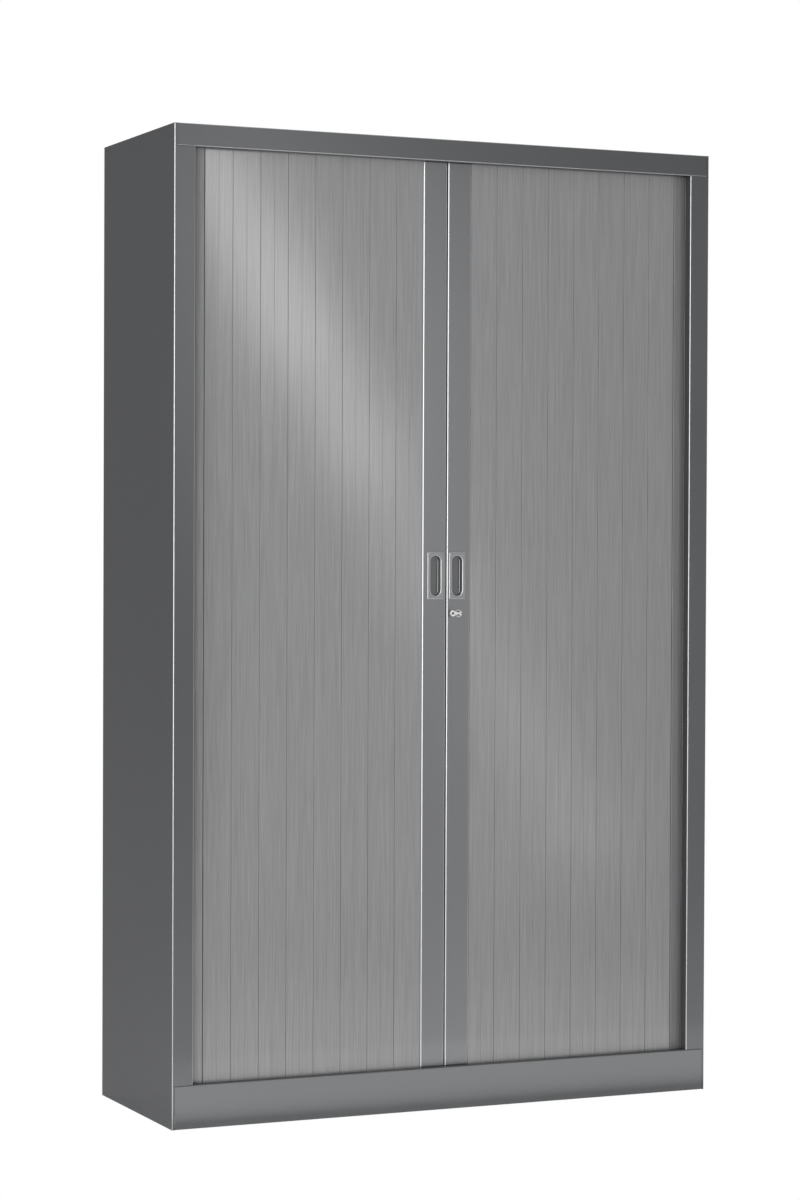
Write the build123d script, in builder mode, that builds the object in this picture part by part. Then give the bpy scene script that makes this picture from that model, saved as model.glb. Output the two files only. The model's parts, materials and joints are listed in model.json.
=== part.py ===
from build123d import *
import os
from math import asin, atan2, cos, pi, sin, sqrt

os.makedirs("parts", exist_ok=True)

# A tall steel cupboard closed by two curtains of upright slats. Each curtain slides sideways
# behind a rigid meeting stile, round the front corner and into a pocket beside the shelves.
# Millimetres. X runs to the right, Y to the back, Z up. The origin is the middle of the base.

# ---- driving sizes: carcass ------------------------------------------------------------
width = 1200.0
depth = 430.0
height = 1980.0
sheet = 1.0              # steel of the outer panels
inner_sheet = 0.8        # steel of the pocket walls, the inner back and the shelves
fold = 1.5               # radius of a fold, in sheet thicknesses, at the middle of the sheet
stile_width = 44.0       # front return of each side panel
rail_height = 44.0
plinth_height = 86.0
frame_return = 20.0      # depth of the returns that line the front opening
corner_lip = 5.0         # what the side panels show in front beside the plinth and the top rail
seam = 0.5               # open seam between neighbouring outer sheets
back_return = 20.0       # rear return of each side panel
tray_flange = 30.0       # upturned or downturned edge of the floor and the ceiling
back_overlap = 0.5       # gap between the two back sheets
strip_width = 40.0       # strip that covers the joint of the two back sheets

# ---- driving sizes: curtain and tracks -------------------------------------------------
slat_setback = 22.0      # slat faces behind the front of the frame
slat_thickness = 6.0
slat_pitch_aim = 29.5    # the pitch is fitted to the front run
slat_gap = 0.8
slat_edge = 1.0          # rounding of the long edges of a slat's face
web_thickness = 0.8      # soft web that the slats are moulded on and that hinges them
web_clearance = 0.05
corner_slats = 3         # slats in the arc of the front corner when the curtain is closed
hinge_shift = 1.0        # joints of the slats in an arc lie this much outside the straight runs
path_radius = 60.0       # middle of the slats round a corner
channel_width = 10.0
track_wall = 2.0
track_height = 12.0
slat_lift = 0.4          # slats above the floor of the bottom track
slat_headroom = 2.0      # slats below the roof of the top track
side_clearance = 4.0     # track to side panel
back_clearance = 2.0     # track to back panel
rear_run = 130.0         # straight rear track behind each rear corner

# ---- driving sizes: meeting stiles, handles --------------------------------------------
door_gap = 2.0           # between the two closing edges
door_stile_width = 53.0
door_stile_depth = 15.0
door_stile_setback = 20.0
door_stile_wall = 1.5
door_stile_lip = 12.0
door_headroom = 1.0      # stile to plinth and to top rail
open_rest = 2.0          # of the front run that an open curtain leaves in front
cap_depth = 15.0         # plug of an end cap inside the stile
cap_clearance = 0.3
plug_radius = 1.5        # upright edges of the plug
shoe_length = 45.0
stop_gap = 0.5           # between a stop and a stile that is fully open
stop_thickness = 7.0
stop_bite = 2.4          # overlap of a door stop with the back of a stile
stop_depth = 6.0
stop_height = 9.0
handle_z = 1092.0
handle_offset = 24.5     # from the middle of the cupboard
handle_plate_width = 35.5
handle_plate_height = 95.0
handle_plate = 1.2
handle_bevel = 0.4       # outer edges of the plate
handle_radius = 0.6      # edge of the cup's mouth
recess_width = 23.5
recess_height = 82.5
recess_depth = 12.0
cup_wall = 1.2
cup_clearance = 0.5

# ---- driving sizes: lock and folding key -----------------------------------------------
lock_z = 1015.0
barrel_diameter = 14.0
barrel_flange = 17.0
barrel_front = 3.0       # barrel in front of the stile
flange_thickness = 1.2
rotor_diameter = 9.6
running_gap = 0.3
nut_width = 21.0
nut_thickness = 3.0
nut_clearance = 0.2
cam_setback = 6.2        # cam behind the face of its stile
cam_reach = 45.0
cam_width = 8.0
cam_hub = 12.0           # diameter of the cam round its stub
cam_stub = 8.0           # diameter of the end of the rotor that carries the cam
cam_thickness = 2.5
hook_depth = 7.0
hook_angle = 25.0
slot_clearance = 1.5
strike_thickness = 1.5
strike_margin = 14.0
blade_width = 6.0
blade_thickness = 1.8
blade_length = 6.0       # of the blade inside the rotor
blade_neck = 1.0         # of the blade in front of the rotor
fork_length = 7.0
fork_width = 5.0
fork_height = 7.0
fork_gap = 3.6
bow_diameter = 13.0
bow_hole = 5.0
bow_reach = 16.0         # from the pin to the middle of the bow's ring
bow_neck = 5.0
bow_thickness = 2.0
pin_diameter = 1.8
pin_inset = 2.5          # pin behind the front of the fork

# ---- driving sizes: inside -------------------------------------------------------------
pocket_clearance = 5.0   # pocket wall to side track
inner_back_clearance = 8.0
guide_clearance = 2.0    # pocket wall to the corner guides
wall_flange = 15.0
upright_width = 30.0
upright_depth = 10.0
upright_sheet = 1.2
upright_inset = 38.0     # middle of an upright from the front or the bevel of its wall
slot_pitch = 25.0
slot_height = 12.0
slot_width = 4.0
first_slot = 37.0        # middle of the lowest slot above the floor
shelf_count = 4
shelf_flange = 25.0
shelf_hem = 12.0
shelf_clearance = 1.0
clip_width = 12.0
clip_sheet = 1.5
clip_ledge = 12.0
clip_drop = 22.0
hook_width = 3.0
hook_height = 5.0
hook_reach = 4.0

# ---- driving sizes: feet and fasteners -------------------------------------------------
pad_diameter = 40.0
pad_height = 6.0
pad_lift = 0.5           # pads clear of the ground while the cupboard stands on its sheets
pad_boss = 12.0          # height of the socket of a pad
pad_socket_wall = 2.0
pad_chamfer = 1.5
leveller_diameter = 9.4
leveller_top = 62.0
leveller_inset_x = 52.0  # from the side of the cupboard
leveller_inset_y = 55.0  # from the front or the back
thread_clearance = 0.4
bracket_width = 56.0
bracket_reach = 74.0
bracket_sheet = 3.0
bracket_level = 24.0
leveller_nut_width = 17.0
leveller_nut_height = 8.0
hex_key = 5.0
access_hole = 16.0
access_cap = 20.0
access_cap_thickness = 1.5
stud_diameter = 5.0
stud_length = 9.0
stud_clearance = 0.3
carcass_nut_width = 10.0
carcass_nut_height = 4.0
side_stud_y = 60.0       # studs of the side panels, from the middle
front_stud_x = 350.0     # studs of the plinth and the top rail, from the middle
rear_stud_x = 300.0      # studs of the back panels, from the middle
cap_screw_head = 6.0
cap_screw_height = 1.5
cap_screw_shank = 3.0
cap_screw_length = 8.0

# ---- places that follow ----------------------------------------------------------------
half_width = width / 2
half_depth = depth / 2
mid = sheet / 2
inner_bend = sheet * (fold - 0.5)
front_y = -half_depth
back_y = half_depth
inner_x = half_width - sheet
inner_front_y = front_y + sheet
back_panel_y = back_y - sheet            # back panels lie inside the rear returns
opening_x = half_width - stile_width
rail_bottom = height - rail_height
floor_top = plinth_height - track_height
ceiling_under = rail_bottom + track_height
inside_height = ceiling_under - floor_top

# The path of the slats: front run, corner, side run, corner, rear run.
track_half = channel_width / 2 + track_wall
corner_x = inner_x - side_clearance - track_half - path_radius
front_path_y = front_y + slat_setback + slat_thickness / 2
front_corner_y = front_path_y + path_radius
rear_path_y = back_panel_y - sheet - back_clearance - track_half
rear_corner_y = rear_path_y - path_radius
side_path_x = corner_x + path_radius
track_inner = path_radius - track_half
slat_bottom = floor_top + track_wall + slat_lift
slat_top = ceiling_under - track_wall - slat_headroom

# The meeting stiles and the slats between them and the corners.
stile_near = door_gap / 2
stile_far = stile_near + door_stile_width
stile_front = front_y + door_stile_setback
stile_back = stile_front + door_stile_depth
stile_bottom = plinth_height + door_headroom
stile_top = rail_bottom - door_headroom
front_run = corner_x - stile_far
front_slats = round(front_run / slat_pitch_aim)
slat_pitch = front_run / front_slats
door_travel = front_run - open_rest
rail_return_y = front_path_y - track_half - seam

# The pocket walls keep inside the circle of the corner guides.
pocket_x = side_path_x - track_half - pocket_clearance
inner_back_y = rear_path_y - track_half - inner_back_clearance
wall_circle = track_inner - guide_clearance
wall_end = sqrt(wall_circle**2 - (pocket_x - corner_x) ** 2)
wall_front_y = front_corner_y - wall_end
bevel_y = rear_corner_y + wall_end
bevel_x = corner_x + sqrt(wall_circle**2 - (inner_back_y - rear_corner_y) ** 2)
wall_mid_x = pocket_x - inner_sheet / 2
wall_face_x = pocket_x - inner_sheet
upright_face_x = wall_face_x - upright_depth
upright_rows = (wall_front_y + upright_inset, bevel_y - upright_inset)

slot_count = int((inside_height - first_slot - slot_height) // slot_pitch) + 1
first_slot_z = floor_top + first_slot
shelf_spacing = inside_height / (shelf_count + 1)

# ---- shapes that repeat ----------------------------------------------------------------
sides = (("left", -1), ("right", 1))


def write(piece, name):
    """Label a finished piece and write it under its own name."""
    piece.label = name
    export_step(piece, f"parts/{name}.step")


def folded_sheet(points, thickness, plane, length):
    """A sheet folded along a line of points in the plane, carried straight off the plane."""
    with BuildPart() as folded:
        with BuildSketch(plane):
            with BuildLine():
                FilletPolyline(*points, radius=thickness * fold)
            trace(line_width=thickness)
        extrude(amount=length)
    return folded.part


def plate(low, high):
    """A flat plate or block between two opposite corners."""
    size = Vector(*high) - Vector(*low)
    with BuildPart() as block:
        with Locations(Vector(*low) + size / 2):
            Box(*size)
    return block.part


def stud_planes(level):
    """Planes on the inner faces of the outer panels, z inwards, where the weld studs stand."""
    places = []
    for side in (-1, 1):
        for stud_y in (-side_stud_y, side_stud_y):
            places.append(Plane(origin=(side * inner_x, stud_y, level), z_dir=(-side, 0, 0)))
        rear = (side * rear_stud_x, back_panel_y - sheet, level)
        places.append(Plane(origin=rear, z_dir=(0, -1, 0)))
    for stud_x in (-front_stud_x, 0, front_stud_x):
        places.append(Plane(origin=(stud_x, inner_front_y, level), z_dir=(0, 1, 0)))
    return places


def tray(low_z, sheet_below):
    """A sheet with its four edges folded one way, with the sheet below or above its edges."""
    tray_depth = back_panel_y - sheet - inner_front_y
    tray_mid_y = (back_panel_y - sheet + inner_front_y) / 2
    with BuildPart() as pressing:
        with BuildSketch(Plane.XY.offset(low_z)):
            with Locations((0, tray_mid_y)):
                RectangleRounded(2 * inner_x, tray_depth, inner_bend)
        extrude(amount=tray_flange)
        with BuildSketch(Plane.XY.offset(low_z + sheet if sheet_below else low_z)):
            with Locations((0, tray_mid_y)):
                Rectangle(2 * (inner_x - sheet), tray_depth - 2 * sheet)
        extrude(amount=tray_flange - sheet, mode=Mode.SUBTRACT)
        for place in stud_planes(low_z + tray_flange / 2):
            with BuildSketch(place):
                Circle(stud_diameter / 2 + stud_clearance)
            extrude(amount=2 * sheet, mode=Mode.SUBTRACT)
    return pressing.part


# ---- outer panels ----------------------------------------------------------------------
lip_x = half_width - corner_lip
rail_half = lip_x - seam

for name, side in sides:
    return_point = (side * (half_width - back_return), back_y - mid)
    rear_corner = (side * (half_width - mid), back_y - mid)
    front_corner = (side * (half_width - mid), front_y + mid)
    lip_point = (side * lip_x, front_y + mid)
    opening_corner = (side * (opening_x + mid), front_y + mid)
    opening_return = (side * (opening_x + mid), front_y + frame_return)
    full_profile = [return_point, rear_corner, front_corner, lip_point]
    stile_profile = [return_point, rear_corner, front_corner, opening_corner, opening_return]
    stile_low = plinth_height + seam
    stile_length = rail_bottom - seam - stile_low
    with BuildPart() as side_panel:
        add(folded_sheet(full_profile, sheet, Plane.XY, height - sheet))
        add(folded_sheet(stile_profile, sheet, Plane.XY.offset(stile_low), stile_length))
    write(side_panel.part, f"{name}_side_panel")

rail_section = [
    (rail_return_y, rail_bottom + mid),
    (front_y + mid, rail_bottom + mid),
    (front_y + mid, height - mid),
    (front_y + frame_return, height - mid),
]
with BuildPart() as top_panel:
    add(folded_sheet(rail_section, sheet, Plane.YZ.offset(-rail_half), 2 * rail_half))
    with BuildSketch(Plane.XY.offset(height - sheet)):
        with Locations((0, sheet / 2)):
            Rectangle(width, depth - sheet)
    extrude(amount=sheet)
    fillet(top_panel.edges().filter_by(Axis.Z).group_by(Axis.Y)[-1], sheet * (fold + 0.5))
write(top_panel.part, "top_panel")

plinth_section = [
    (front_y + frame_return, mid),
    (front_y + mid, mid),
    (front_y + mid, plinth_height - mid),
    (rail_return_y, plinth_height - mid),
]
write(folded_sheet(plinth_section, sheet, Plane.YZ.offset(-rail_half), 2 * rail_half), "plinth")

leveller_x = half_width - leveller_inset_x
leveller_y = half_depth - leveller_inset_y
with BuildPart() as floor_panel:
    add(tray(floor_top - tray_flange, False))
    with BuildSketch(Plane.XY.offset(floor_top - sheet)):
        with GridLocations(2 * leveller_x, 2 * leveller_y, 2, 2):
            Circle(access_hole / 2)
    extrude(amount=sheet, mode=Mode.SUBTRACT)
write(floor_panel.part, "floor_panel")
write(tray(ceiling_under, True), "ceiling_panel")

for name, side in sides:
    near = side * back_overlap / 2
    far = side * (inner_x - inner_bend)
    low = (min(near, far), back_panel_y - sheet, 0)
    high = (max(near, far), back_panel_y, height - sheet)
    write(plate(low, high), f"back_panel_{name}")
strip_low = (-strip_width / 2, back_panel_y, 0)
strip_high = (strip_width / 2, back_y, height - sheet)
write(plate(strip_low, strip_high), "back_joint_strip")

# ---- pocket walls and inner back -------------------------------------------------------
wall_back_y = inner_back_y - inner_sheet / 2
for name, side in sides:
    wall_points = [
        (side * (wall_mid_x - wall_flange), wall_front_y),
        (side * wall_mid_x, wall_front_y),
        (side * wall_mid_x, bevel_y),
        (side * bevel_x, wall_back_y),
        (side * (bevel_x - wall_flange), wall_back_y),
    ]
    wall = folded_sheet(wall_points, inner_sheet, Plane.XY.offset(floor_top), inside_height)
    write(wall, f"{name}_pocket_wall")

inner_back_x = bevel_x - guide_clearance
inner_back_low = (-inner_back_x, inner_back_y - 2 * inner_sheet, floor_top)
inner_back_high = (inner_back_x, inner_back_y - inner_sheet, ceiling_under)
write(plate(inner_back_low, inner_back_high), "inner_back_panel")

# ---- slotted uprights ------------------------------------------------------------------
slot_middle_z = first_slot_z + (slot_count - 1) * slot_pitch / 2
for name, side in sides:
    with BuildPart() as uprights:
        for row_y in upright_rows:
            web_x = upright_face_x + upright_sheet / 2
            upright_points = [
                (side * wall_face_x, row_y - upright_width / 2),
                (side * web_x, row_y - upright_width / 2),
                (side * web_x, row_y + upright_width / 2),
                (side * wall_face_x, row_y + upright_width / 2),
            ]
            upright_plane = Plane.XY.offset(floor_top)
            add(folded_sheet(upright_points, upright_sheet, upright_plane, inside_height))
        with BuildSketch(Plane.YZ.offset(side * (upright_face_x - upright_sheet))):
            for row_y in upright_rows:
                with Locations((row_y, slot_middle_z)):
                    with GridLocations(1, slot_pitch, 1, slot_count):
                        Rectangle(slot_width, slot_height)
        extrude(amount=side * 3 * upright_sheet, mode=Mode.SUBTRACT)
    write(uprights.part, f"{name}_slotted_uprights")


# ---- tracks ----------------------------------------------------------------------------
side_run = rear_corner_y - front_corner_y
side_mid_y = (rear_corner_y + front_corner_y) / 2


def band(run, half):
    """Plan of a band of this half width along one kind of run of the slats' path."""
    with BuildSketch() as plan:
        if run == "front":
            with Locations((0, front_path_y)):
                Rectangle(2 * corner_x, 2 * half)
        if run == "pocket":
            rear_x = corner_x - rear_run / 2
            with Locations((-side_path_x, side_mid_y), (side_path_x, side_mid_y)):
                Rectangle(2 * half, side_run)
            with Locations((-rear_x, rear_path_y), (rear_x, rear_path_y)):
                Rectangle(rear_run, 2 * half)
        if run == "corner":
            with Locations((0, side_mid_y)):
                with GridLocations(2 * corner_x, side_run, 2, 2):
                    Circle(path_radius + half)
                with GridLocations(2 * corner_x, side_run, 2, 2):
                    Circle(path_radius - half, mode=Mode.SUBTRACT)
                Rectangle(2 * corner_x, depth, mode=Mode.SUBTRACT)
                Rectangle(width, side_run, mode=Mode.SUBTRACT)
    return plan.sketch


track_names = {"front": "front_track", "pocket": "pocket_tracks", "corner": "corner_guides"}
top_track_z = ceiling_under - track_height
for level, base_z, channel_z in (
    ("bottom", floor_top, floor_top + track_wall),
    ("top", top_track_z, top_track_z),
):
    for run, track_name in track_names.items():
        with BuildPart() as track:
            with BuildSketch(Plane.XY.offset(base_z)):
                add(band(run, track_half))
            extrude(amount=track_height)
            with BuildSketch(Plane.XY.offset(channel_z)):
                add(band(run, channel_width / 2))
            extrude(amount=track_height - track_wall, mode=Mode.SUBTRACT)
        write(track.part, f"{level}_{track_name}")

# ---- curtains --------------------------------------------------------------------------
slat_width = slat_pitch - slat_gap
slat_length = slat_top - slat_bottom
hinge_radius = path_radius - slat_thickness / 2 + hinge_shift
hinge_turn = 2 * asin(slat_pitch / 2 / hinge_radius)


def slat_plan():
    """Plan of one slat with its face towards -Y and the two edges of that face rounded."""
    with BuildSketch() as plan:
        Rectangle(slat_width, slat_thickness)
        fillet(plan.vertices().group_by(Axis.Y)[0], slat_edge)
    return plan.sketch


def hinge_points(side, inset):
    """Joints of the slats from the start of the front corner on, moved inwards by the inset."""
    radius = hinge_radius - inset
    points = []
    for joint in range(corner_slats + 1):
        turn = joint * hinge_turn
        points.append((side * (corner_x + radius * sin(turn)), front_corner_y - radius * cos(turn)))
    straight_x = corner_x + radius - hinge_shift
    drift = abs(points[-1][0]) - straight_x
    points.append((side * straight_x, points[-1][1] + sqrt(slat_pitch**2 - drift**2)))
    return points


for name, side in sides:
    run_mid_x = side * (stile_far + front_run / 2)
    web_y = front_path_y + slat_thickness / 2 + web_thickness / 2
    with BuildPart() as slats:
        with BuildSketch(Plane.XY.offset(slat_bottom)):
            with Locations((run_mid_x, front_path_y)):
                with GridLocations(slat_pitch, 1, front_slats, 1):
                    add(slat_plan())
        extrude(amount=slat_length)
    write(slats.part, f"{name}_slats")
    with BuildPart() as web:
        with BuildSketch(Plane.XY.offset(slat_bottom)):
            with Locations((run_mid_x, web_y)):
                Rectangle(front_run - slat_gap, web_thickness)
        extrude(amount=slat_length)
    write(web.part, f"{name}_web")
    joints = hinge_points(side, 0)
    with BuildPart() as corner:
        with BuildSketch(Plane.XY.offset(slat_bottom)):
            for start, end in zip(joints[:-1], joints[1:]):
                along_x = (end[0] - start[0]) / slat_pitch
                along_y = (end[1] - start[1]) / slat_pitch
                mid_x = (start[0] + end[0]) / 2 + side * along_y * slat_thickness / 2
                mid_y = (start[1] + end[1]) / 2 - side * along_x * slat_thickness / 2
                turn = atan2(side * along_y, side * along_x) * 180 / pi
                with Locations(Location((mid_x, mid_y, 0), (0, 0, turn))):
                    add(slat_plan())
        extrude(amount=slat_length)
    write(corner.part, f"{name}_corner_slats")
    with BuildPart() as corner_web:
        with BuildSketch(Plane.XY.offset(slat_bottom)):
            with BuildLine():
                Polyline(*hinge_points(side, web_thickness / 2 + web_clearance))
            trace(line_width=web_thickness)
        extrude(amount=slat_length)
    write(corner_web.part, f"{name}_corner_web")

# ---- meeting stiles --------------------------------------------------------------------
lock_x = stile_near + door_stile_width / 2
cam_front_y = stile_front + cam_setback
cam_back_y = cam_front_y + cam_thickness
slot_front_y = cam_front_y - slot_clearance
slot_back_y = cam_back_y + slot_clearance
slot_top_z = lock_z + cam_width / 2 + slot_clearance
through_wall = 3 * door_stile_wall
cup_outer_width = recess_width + 2 * cup_wall
cup_outer_height = recess_height + 2 * cup_wall
stile_inside = door_stile_wall * (fold + 0.5)     # clear of the rounded inner corners
lip_screw_x = (door_stile_lip + door_stile_wall) / 2


def behind(y):
    """The upright plane at this depth, with its normal to the front."""
    return Plane.XZ.offset(-y)


def stile_block(side, low, high):
    """A block beside the middle plane, given for the right side and mirrored for the left."""
    xs = sorted((side * low[0], side * high[0]))
    return plate((xs[0], low[1], low[2]), (xs[1], high[1], high[2]))


for name, side in sides:
    half_wall = door_stile_wall / 2
    stile_points = [
        (side * (stile_near + door_stile_lip), stile_back - half_wall),
        (side * (stile_near + half_wall), stile_back - half_wall),
        (side * (stile_near + half_wall), stile_front + half_wall),
        (side * (stile_far - half_wall), stile_front + half_wall),
        (side * (stile_far - half_wall), stile_back - half_wall),
        (side * (stile_far - door_stile_lip), stile_back - half_wall),
    ]
    stile_plane = Plane.XY.offset(stile_bottom)
    cap_holes = [
        (side * x, z)
        for x in (stile_near + lip_screw_x, stile_far - lip_screw_x)
        for z in (stile_bottom + cap_depth / 2, stile_top - cap_depth / 2)
    ]
    # The cam crosses the closing edge of its own stile and, further out, that of the other one.
    edge_reach = lock_x - stile_near - door_stile_wall if side > 0 else lock_x + stile_near
    slot_low_z = lock_z - sqrt(cam_reach**2 - edge_reach**2) - slot_clearance
    slot_low = (stile_near - door_stile_wall, slot_front_y, slot_low_z)
    slot_high = (stile_near + through_wall, slot_back_y, slot_top_z)
    with BuildPart() as stile:
        add(folded_sheet(stile_points, door_stile_wall, stile_plane, stile_top - stile_bottom))
        with BuildSketch(behind(stile_front + 2 * door_stile_wall)):
            with Locations((side * handle_offset, handle_z)):
                SlotOverall(cup_outer_height + cup_clearance, cup_outer_width + cup_clearance, 90)
            if side > 0:
                with Locations((lock_x, lock_z)):
                    Circle(barrel_diameter / 2 + nut_clearance / 2)
        extrude(amount=through_wall, mode=Mode.SUBTRACT)
        with BuildSketch(behind(stile_back + door_stile_wall)):
            with Locations(*cap_holes):
                Circle(cap_screw_shank / 2)
        extrude(amount=through_wall, mode=Mode.SUBTRACT)
        add(stile_block(side, slot_low, slot_high), mode=Mode.SUBTRACT)
    write(stile.part, f"{name}_stile")

    with BuildPart() as caps:
        for base_z in (stile_bottom, stile_top - cap_depth):
            with BuildSketch(Plane.XY.offset(base_z)):
                with Locations((side * lock_x, (stile_front + stile_back) / 2)):
                    inset = door_stile_wall + cap_clearance
                    plug_width = door_stile_width - 2 * inset
                    RectangleRounded(plug_width, door_stile_depth - 2 * inset, plug_radius)
            extrude(amount=cap_depth)
        for low_z, high_z in ((slat_bottom, stile_bottom), (stile_top, slat_top)):
            with BuildSketch(Plane.XY.offset(low_z)):
                with Locations((side * lock_x, front_path_y)):
                    RectangleRounded(shoe_length, slat_thickness, slat_thickness / 2 - slat_edge)
            extrude(amount=high_z - low_z)
        with BuildSketch(behind(stile_back + door_stile_wall)):
            with Locations(*cap_holes):
                Circle(cap_screw_shank / 2)
        extrude(amount=door_stile_wall + cap_screw_length, mode=Mode.SUBTRACT)
    write(caps.part, f"{name}_stile_caps")

    with BuildPart() as cap_screws:
        with BuildSketch(behind(stile_back)):
            with Locations(*cap_holes):
                Circle(cap_screw_shank / 2)
        extrude(amount=cap_screw_length)
        with BuildSketch(behind(stile_back + cap_screw_height)):
            with Locations(*cap_holes):
                Circle(cap_screw_head / 2)
        extrude(amount=cap_screw_height)
    write(cap_screws.part, f"{name}_cap_screws")

    # A cup for the fingers, with a flat plate round its mouth.
    plate_face_y = stile_front - handle_plate
    with BuildPart() as cup:
        with BuildSketch(behind(stile_front)):
            with Locations((side * handle_offset, handle_z)):
                RectangleRounded(handle_plate_width, handle_plate_height, handle_plate)
        extrude(amount=handle_plate)
        chamfer(cup.faces().sort_by(Axis.Y)[0].edges(), handle_bevel)
        with BuildSketch(behind(plate_face_y + recess_depth + cup_wall)):
            with Locations((side * handle_offset, handle_z)):
                SlotOverall(cup_outer_height, cup_outer_width, 90)
        extrude(amount=recess_depth + cup_wall - handle_plate)
        with BuildSketch(behind(plate_face_y + recess_depth)):
            with Locations((side * handle_offset, handle_z)):
                SlotOverall(recess_height, recess_width, 90)
        extrude(amount=recess_depth, mode=Mode.SUBTRACT)
        mouth = cup.faces().sort_by(Axis.Y)[0].inner_wires()[0]
        fillet(mouth.edges(), handle_radius)
    write(cup.part, f"{name}_handle_cup")

# ---- door stops ------------------------------------------------------------------------
stop_x = stile_far + door_travel + stop_gap
stop_y = stile_back - stop_bite
with BuildPart() as door_stops:
    for side in (-1, 1):
        for low_z, high_z in (
            (floor_top, plinth_height + stop_height),
            (rail_bottom - stop_height, ceiling_under),
        ):
            low = (stop_x, stop_y, low_z)
            add(stile_block(side, low, (stop_x + stop_thickness, stop_y + stop_depth, high_z)))
write(door_stops.part, "door_stops")

# ---- strike plate ----------------------------------------------------------------------
strike_reach = lock_x + stile_near
strike_slot_z = lock_z - sqrt(cam_reach**2 - strike_reach**2) - slot_clearance
strike_near = stile_near + door_stile_wall
strike_low = (strike_near, stile_front + stile_inside, strike_slot_z - strike_margin)
strike_top_z = slot_top_z + strike_margin
strike_high = (strike_near + strike_thickness, stile_back - stile_inside, strike_top_z)
strike_cut_low = (0, slot_front_y, strike_slot_z)
strike_cut_high = (strike_near + 2 * strike_thickness, slot_back_y, slot_top_z)
with BuildPart() as strike_plate:
    add(stile_block(-1, strike_low, strike_high))
    add(stile_block(-1, strike_cut_low, strike_cut_high), mode=Mode.SUBTRACT)
write(strike_plate.part, "strike_plate")

# ---- lock ------------------------------------------------------------------------------
barrel_face_y = stile_front - barrel_front
rotor_face_y = barrel_face_y + running_gap
housing_back_y = cam_front_y - running_gap
lock_place = (lock_x, lock_z)

with BuildPart() as lock_housing:
    with BuildSketch(behind(housing_back_y)):
        with Locations(lock_place):
            Circle(barrel_diameter / 2)
    extrude(amount=housing_back_y - barrel_face_y)
    fillet(lock_housing.edges().group_by(Axis.Y)[0], running_gap)
    with BuildSketch(behind(stile_front)):
        with Locations(lock_place):
            Circle(barrel_flange / 2)
    extrude(amount=flange_thickness)
    with BuildSketch(behind(housing_back_y)):
        with Locations(lock_place):
            Circle(rotor_diameter / 2 + running_gap)
    extrude(amount=housing_back_y - barrel_face_y, mode=Mode.SUBTRACT)
write(lock_housing.part, "lock_housing")

nut_front_y = stile_front + door_stile_wall
with BuildPart() as lock_nut:
    with BuildSketch(behind(nut_front_y + nut_thickness)):
        with Locations(lock_place):
            RegularPolygon(nut_width / 2, 6, major_radius=False)
            Circle((barrel_diameter + nut_clearance) / 2, mode=Mode.SUBTRACT)
    extrude(amount=nut_thickness)
write(lock_nut.part, "lock_nut")

with BuildPart() as lock_rotor:
    with BuildSketch(behind(cam_front_y)):
        with Locations(lock_place):
            Circle(rotor_diameter / 2)
    extrude(amount=cam_front_y - rotor_face_y)
    with BuildSketch(behind(cam_back_y)):
        with Locations(lock_place):
            Circle(cam_stub / 2)
    extrude(amount=cam_thickness)
    with BuildSketch(behind(rotor_face_y + blade_length + running_gap)):
        with Locations(lock_place):
            Rectangle(blade_thickness + 2 * running_gap, blade_width + 2 * running_gap)
    extrude(amount=blade_length + running_gap, mode=Mode.SUBTRACT)
    with BuildSketch(behind(cam_back_y)):
        with Locations(lock_place):
            Circle(cap_screw_shank / 2)
    extrude(amount=cam_thickness, mode=Mode.SUBTRACT)
write(lock_rotor.part, "lock_rotor")

arm_length = cam_reach - hook_depth / 2
with BuildPart() as lock_cam:
    with BuildSketch(behind(cam_back_y)):
        with Locations(lock_place):
            Circle(cam_reach)
            Circle(cam_reach - hook_depth, mode=Mode.SUBTRACT)
            # The hook leads the arm by its angle, towards the closing edge.
            lead = hook_angle * pi / 180
            far_point = (-2 * cam_reach * sin(lead), -2 * cam_reach * cos(lead))
            Polygon((0, 0), (0, -2 * cam_reach), far_point, align=None, mode=Mode.INTERSECT)
            Circle(cam_hub / 2)
            with Locations((0, -arm_length / 2)):
                Rectangle(cam_width, arm_length)
            Circle((cam_stub + nut_clearance) / 2, mode=Mode.SUBTRACT)
    extrude(amount=cam_thickness)
write(lock_cam.part, "lock_cam")

with BuildPart() as cam_screw:
    with BuildSketch(behind(cam_back_y)):
        with Locations(lock_place):
            Circle(cap_screw_shank / 2)
    extrude(amount=cam_thickness)
    with BuildSketch(behind(cam_back_y + cap_screw_height)):
        with Locations(lock_place):
            Circle(rotor_diameter / 2)
    extrude(amount=cap_screw_height)
write(cam_screw.part, "cam_screw")

# ---- folding key -----------------------------------------------------------------------
fork_back_y = rotor_face_y - blade_neck
fork_front_y = fork_back_y - fork_length
pin_y = fork_front_y + pin_inset
with BuildPart() as key_blade:
    with BuildSketch(behind(rotor_face_y + blade_length)):
        with Locations(lock_place):
            Rectangle(blade_thickness, blade_width)
    extrude(amount=blade_length + blade_neck)
    with BuildSketch(behind(fork_back_y)):
        with Locations(lock_place):
            Rectangle(fork_width, fork_height)
    extrude(amount=fork_length)
    with BuildSketch(behind(pin_y + pin_inset)):
        with Locations(lock_place):
            Rectangle(2 * fork_width, fork_gap)
    extrude(amount=2 * pin_inset, mode=Mode.SUBTRACT)
    with BuildSketch(Plane.XY.offset(lock_z - fork_height)):
        with Locations((lock_x, pin_y)):
            Circle(pin_diameter / 2)
    extrude(amount=2 * fork_height, mode=Mode.SUBTRACT)
write(key_blade.part, "key_blade")

with BuildPart() as key_pin:
    with BuildSketch(Plane.XY.offset(lock_z - fork_height / 2)):
        with Locations((lock_x, pin_y)):
            Circle(pin_diameter / 2)
    extrude(amount=fork_height)
write(key_pin.part, "key_pin")

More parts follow.
